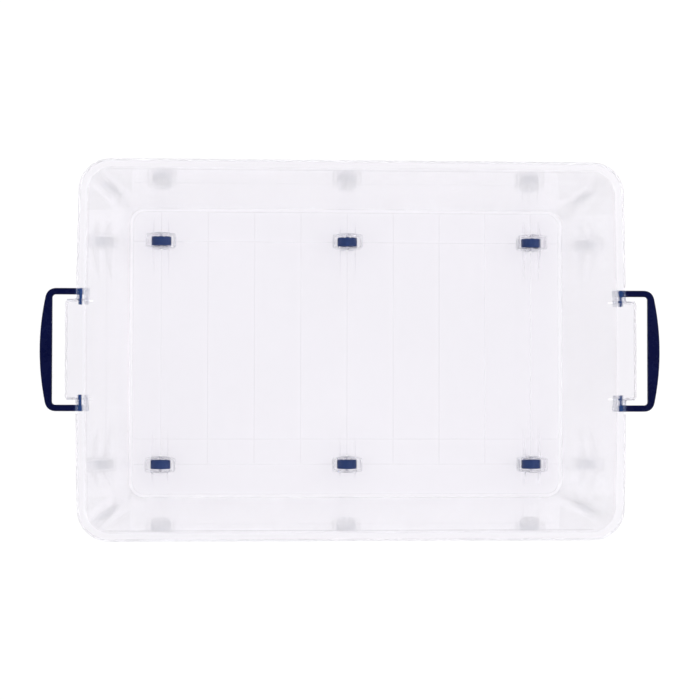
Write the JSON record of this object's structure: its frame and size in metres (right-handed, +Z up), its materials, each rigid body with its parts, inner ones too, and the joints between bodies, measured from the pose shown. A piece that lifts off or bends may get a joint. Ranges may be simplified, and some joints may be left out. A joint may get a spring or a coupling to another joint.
{
  "type": "under bed box",
  "caption": "Shallow clear plastic storage box with tapered walls, a turned-down rim, small wheels under its floor and a hinged carrying handle at each end; open, without a lid.",
  "frame": {"origin": "on the ground under the middle of the box", "axes": "+X along the box towards one handle, +Y across the box, +Z up"},
  "size_m": [0.811, 0.494, 0.18],
  "materials": {
    "clear_plastic": "clear polypropylene, smooth, with a faint lavender haze",
    "handle_plastic": "navy blue moulded plastic, satin",
    "wheel_plastic": "navy blue moulded plastic, matt",
    "axle_plastic": "natural white moulded plastic, satin"
  },
  "bodies": {
    "box": {"tub": "clear_plastic", "axle_front_left": "axle_plastic", "axle_rear_left": "axle_plastic", "axle_front_middle": "axle_plastic", "axle_rear_middle": "axle_plastic", "axle_front_right": "axle_plastic", "axle_rear_right": "axle_plastic"},
    "wheel_front_left": {"wheel_front_left": "wheel_plastic"},
    "wheel_rear_left": {"wheel_rear_left": "wheel_plastic"},
    "wheel_front_middle": {"wheel_front_middle": "wheel_plastic"},
    "wheel_rear_middle": {"wheel_rear_middle": "wheel_plastic"},
    "wheel_front_right": {"wheel_front_right": "wheel_plastic"},
    "wheel_rear_right": {"wheel_rear_right": "wheel_plastic"},
    "handle_left": {"handle_left": "handle_plastic"},
    "handle_right": {"handle_right": "handle_plastic"}
  },
  "joints": [
    {"name": "wheel_front_left_spin", "type": "hinge", "parent": "box", "child": "wheel_front_left", "pos_m": [-0.2585, -0.1548, 0.0137], "axis": [0, 1, 0], "continuous": true},
    {"name": "wheel_rear_left_spin", "type": "hinge", "parent": "box", "child": "wheel_rear_left", "pos_m": [-0.2585, 0.1548, 0.0137], "axis": [0, 1, 0], "continuous": true},
    {"name": "wheel_front_middle_spin", "type": "hinge", "parent": "box", "child": "wheel_front_middle", "pos_m": [0, -0.1548, 0.0137], "axis": [0, 1, 0], "continuous": true},
    {"name": "wheel_rear_middle_spin", "type": "hinge", "parent": "box", "child": "wheel_rear_middle", "pos_m": [0, 0.1548, 0.0137], "axis": [0, 1, 0], "continuous": true},
    {"name": "wheel_front_right_spin", "type": "hinge", "parent": "box", "child": "wheel_front_right", "pos_m": [0.2585, -0.1548, 0.0137], "axis": [0, 1, 0], "continuous": true},
    {"name": "wheel_rear_right_spin", "type": "hinge", "parent": "box", "child": "wheel_rear_right", "pos_m": [0.2585, 0.1548, 0.0137], "axis": [0, 1, 0], "continuous": true},
    {"name": "handle_left_swing", "type": "hinge", "parent": "box", "child": "handle_left", "pos_m": [-0.3534, 0, 0.158], "axis": [0, 1, 0], "range_deg": [0, 70]},
    {"name": "handle_right_swing", "type": "hinge", "parent": "box", "child": "handle_right", "pos_m": [0.3534, 0, 0.158], "axis": [0, -1, 0], "range_deg": [0, 70]}
  ]
}
